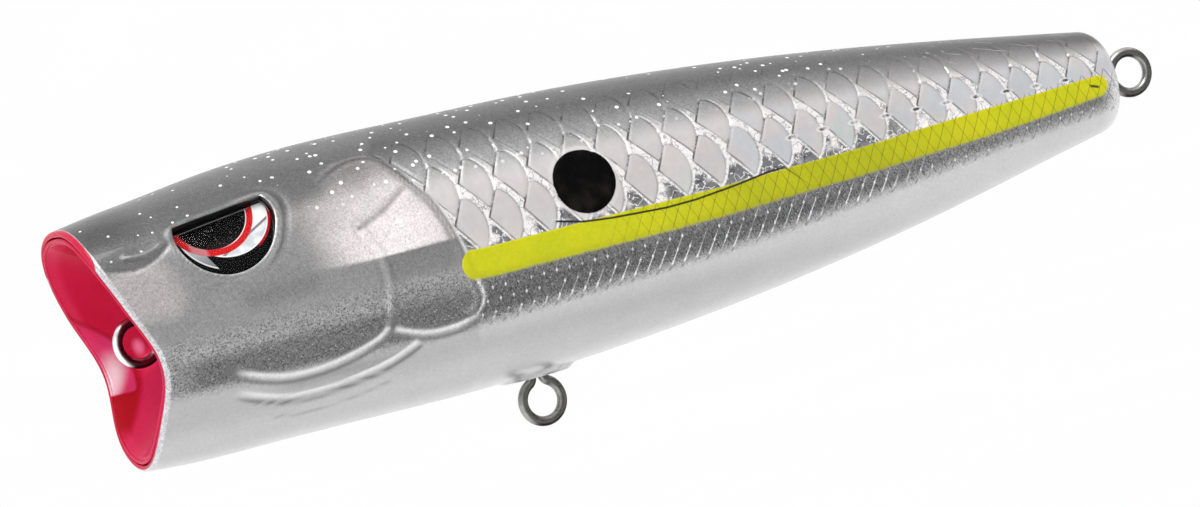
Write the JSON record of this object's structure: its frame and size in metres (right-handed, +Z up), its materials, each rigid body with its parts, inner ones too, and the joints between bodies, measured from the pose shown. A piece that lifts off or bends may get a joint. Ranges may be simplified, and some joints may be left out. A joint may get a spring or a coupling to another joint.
{
  "type": "topwater popper",
  "caption": "Hollow two-shell topwater popper: tapered fish body with a cupped red mouth, half-moon eyes, wire line tie and hook eyes, fixed ballast and loose rattles.",
  "frame": {"origin": "centre of the overall bounding box, on the parting plane between the two shells", "axes": "the mouth faces -Y and the tail eye points +Y, +Z up through the back, +X out of the lure's own left side; X = 0 is the parting plane"},
  "size_m": [0.0166, 0.085, 0.0238],
  "materials": {
    "shell": "clear-coated silver foil and paint with engraved scales, dark grey back, chartreuse stripe",
    "mouth": "wet-look gloss crimson",
    "wire": "drawn stainless wire",
    "eye_foil": "printed foil: black pupil, red iris, silver-white sclera, black ring",
    "eye_lens": "clear cast resin",
    "brass_weight": "turned",
    "steel_weight": "cropped bar",
    "ball": "polished bearing ball"
  },
  "bodies": {
    "lure_body": {"left_shell": "shell", "right_shell": "shell", "mouth_cup": "mouth", "line_tie_eye": "wire", "belly_hook_eye": "wire", "tail_hook_eye": "wire", "left_eye_foil": "eye_foil", "right_eye_foil": "eye_foil", "left_eye_lens": "eye_lens", "right_eye_lens": "eye_lens", "belly_weight": "brass_weight", "tail_weight": "steel_weight"},
    "knocker": {"knocker_ball": "brass_weight"},
    "rattle_1": {"rattle_ball_1": "ball"},
    "rattle_2": {"rattle_ball_2": "ball"},
    "rattle_3": {"rattle_ball_3": "ball"}
  },
  "joints": [
    {"name": "knocker_slide", "type": "slide", "parent": "lure_body", "child": "knocker", "axis": [0, 1, 0], "range_m": [-0.0051, 0.0051]},
    {"name": "rattle_slide_1", "type": "slide", "parent": "lure_body", "child": "rattle_1", "axis": [0, 1, 0], "range_m": [-0.0019, 0.0019]},
    {"name": "rattle_slide_2", "type": "slide", "parent": "lure_body", "child": "rattle_2", "axis": [0, 1, 0], "range_m": [-0.0019, 0.0019]},
    {"name": "rattle_slide_3", "type": "slide", "parent": "lure_body", "child": "rattle_3", "axis": [0, 1, 0], "range_m": [-0.0019, 0.0019]}
  ],
  "couplings": [
    {"joint": "rattle_slide_2", "follows": "rattle_slide_1", "ratio": 1},
    {"joint": "rattle_slide_3", "follows": "rattle_slide_1", "ratio": 1}
  ]
}
